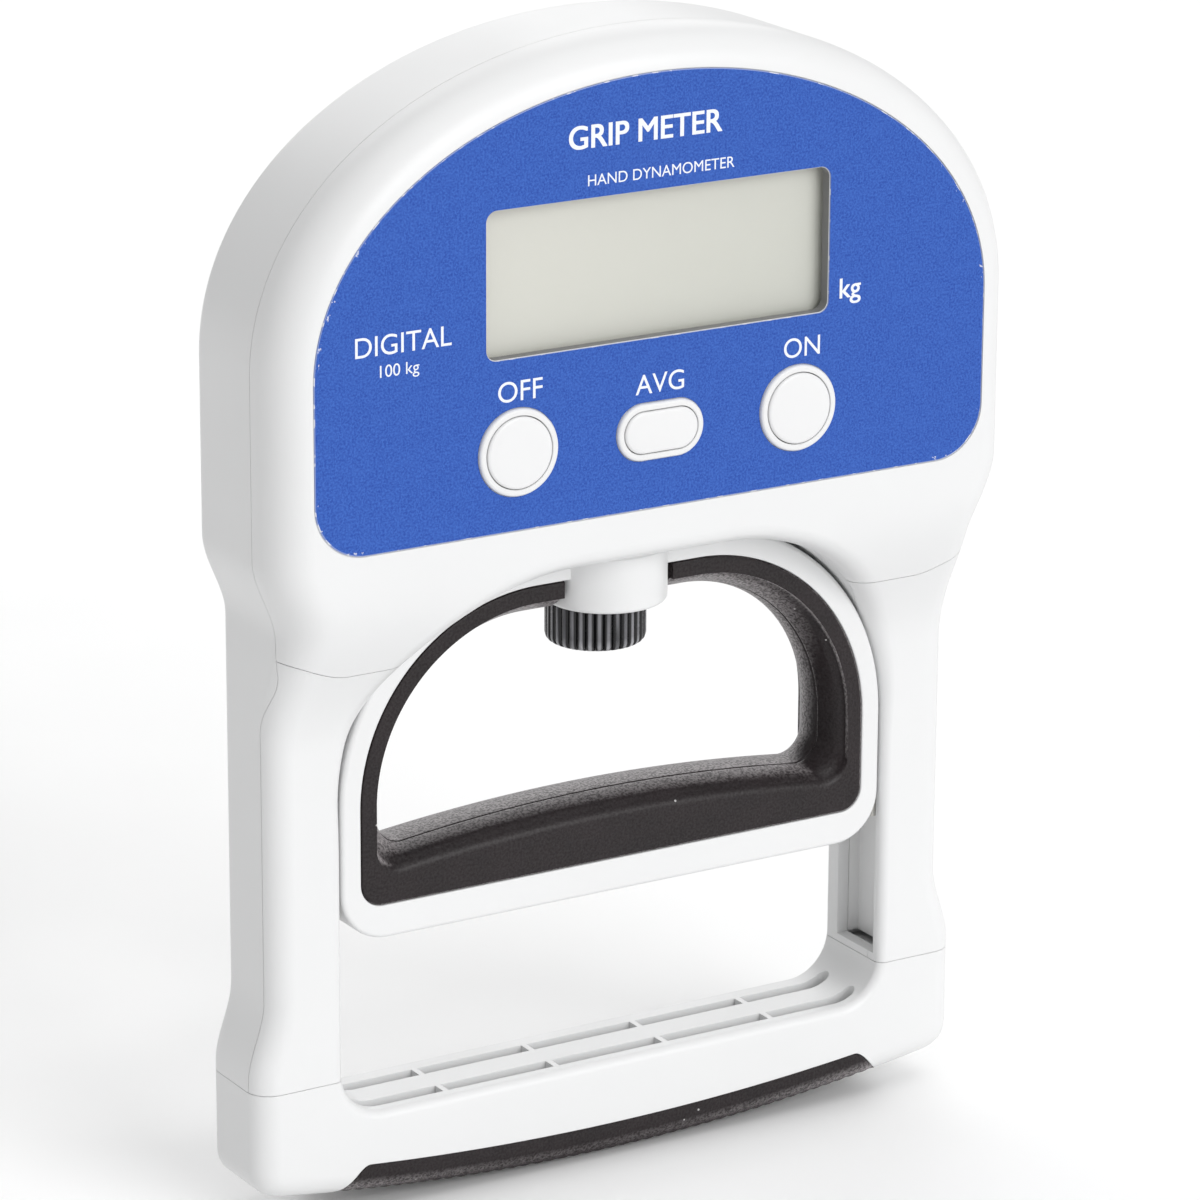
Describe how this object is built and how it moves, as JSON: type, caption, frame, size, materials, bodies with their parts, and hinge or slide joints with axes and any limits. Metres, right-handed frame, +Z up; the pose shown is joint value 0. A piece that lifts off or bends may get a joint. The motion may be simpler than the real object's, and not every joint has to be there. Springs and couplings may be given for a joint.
{
  "type": "hand dynamometer",
  "caption": "Digital grip-strength meter: a D-shaped head with a display and buttons on two legs, a sliding rubber-lined finger handle, a width-setting knob and a fixed palm bar.",
  "frame": {"origin": "on the flat back, on the middle plane, level with the row of buttons", "axes": "+Z up, from the foot bar to the head; +X to the right as the user reads the display; the display faces -Y"},
  "size_m": [0.154, 0.0326, 0.217],
  "materials": {
    "white_shell": "satin white ABS housing",
    "white_cap": "smooth white button caps",
    "white_acetal": "self-lubricating acetal",
    "pale_grey_rail": "pale grey guide rail",
    "blue_label": "printed polycarbonate front label",
    "clear_window": "clear acrylic pane",
    "display": "blank liquid-crystal display",
    "black_rubber": "fine-grained black rubber",
    "black_plastic": "black moulded plastic",
    "board": "green printed circuit board",
    "steel": "zinc-plated steel",
    "spring_steel": "oiled spring steel",
    "brass": "turned brass",
    "cell_wrap": "plain shrink sleeve on a dry cell",
    "nickel": "nickel-plated contact strip",
    "wire": "insulated wire"
  },
  "bodies": {
    "housing": {"front_cover": "white_shell", "rear_housing": "white_shell", "leg_cover_left": "white_shell", "leg_cover_right": "white_shell", "foot_bar": "white_shell", "foot_pad": "black_rubber", "guide_rail_right": "pale_grey_rail", "guide_rail_left": "pale_grey_rail", "rear_screw_1": "steel", "rear_screw_2": "steel", "rear_screw_3": "steel", "rear_screw_4": "steel", "rear_screw_5": "steel", "rear_screw_6": "steel", "front_label": "blue_label", "display_window": "clear_window", "display_glass": "display", "display_holder": "black_plastic", "main_board": "board", "off_switch": "black_plastic", "average_switch": "black_plastic", "on_switch": "black_plastic", "battery_tray": "black_plastic", "battery_upper": "cell_wrap", "battery_lower": "cell_wrap", "contact_link": "nickel", "contact_upper": "nickel", "contact_lower": "nickel", "battery_cable": "wire", "spring_base": "steel", "measuring_spring_left": "spring_steel", "measuring_spring_right": "spring_steel", "rotary_sensor": "black_plastic", "sensor_cable": "black_plastic"},
    "pull_yoke": {"crosshead": "steel", "pull_sleeve": "brass", "rack": "white_acetal"},
    "handle": {"handle_frame": "white_shell", "handle_liner": "black_rubber", "guide_shoe_left": "white_acetal", "guide_shoe_right": "white_acetal"},
    "knob": {"adjusting_knob": "black_plastic", "thrust_washer": "black_plastic", "spindle": "steel", "spindle_clip": "spring_steel"},
    "pinion": {"sensor_pinion": "white_acetal"},
    "off_cap": {"off_button": "white_cap"},
    "average_cap": {"average_button": "white_cap"},
    "on_cap": {"on_button": "white_cap"},
    "door": {"battery_door": "white_shell"}
  },
  "joints": [
    {"name": "squeeze", "type": "slide", "parent": "housing", "child": "pull_yoke", "axis": [0, 0, -1], "range_m": [0, 0.009], "stiffness_N_per_m": 60000, "deforming": ["measuring_spring_left", "measuring_spring_right"]},
    {"name": "grip_width", "type": "slide", "parent": "pull_yoke", "child": "handle", "axis": [0, 0, -1], "range_m": [0, 0.018]},
    {"name": "knob_turn", "type": "hinge", "parent": "handle", "child": "knob", "pos_m": [0, -0.0096, -0.041], "axis": [0, 0, -1], "range_deg": [0, 5184]},
    {"name": "sensor_turn", "type": "hinge", "parent": "housing", "child": "pinion", "pos_m": [0.036, -0.011, 0.002], "axis": [0, -1, 0], "range_deg": [0, 115]},
    {"name": "off_press", "type": "slide", "parent": "housing", "child": "off_cap", "axis": [0, 1, 0], "range_m": [0, 0.0008], "stiffness_N_per_m": 300, "springref_m": -0.003},
    {"name": "average_press", "type": "slide", "parent": "housing", "child": "average_cap", "axis": [0, 1, 0], "range_m": [0, 0.0008], "stiffness_N_per_m": 300, "springref_m": -0.003},
    {"name": "on_press", "type": "slide", "parent": "housing", "child": "on_cap", "axis": [0, 1, 0], "range_m": [0, 0.0008], "stiffness_N_per_m": 300, "springref_m": -0.003},
    {"name": "door_open", "type": "hinge", "parent": "housing", "child": "door", "pos_m": [0, 0, 0.0349], "axis": [-1, 0, 0], "range_deg": [0, 75]}
  ],
  "couplings": [
    {"joint": "knob_turn", "follows": "grip_width", "rad_per_m": 5026.5},
    {"joint": "sensor_turn", "follows": "squeeze", "rad_per_m": 222.22}
  ]
}
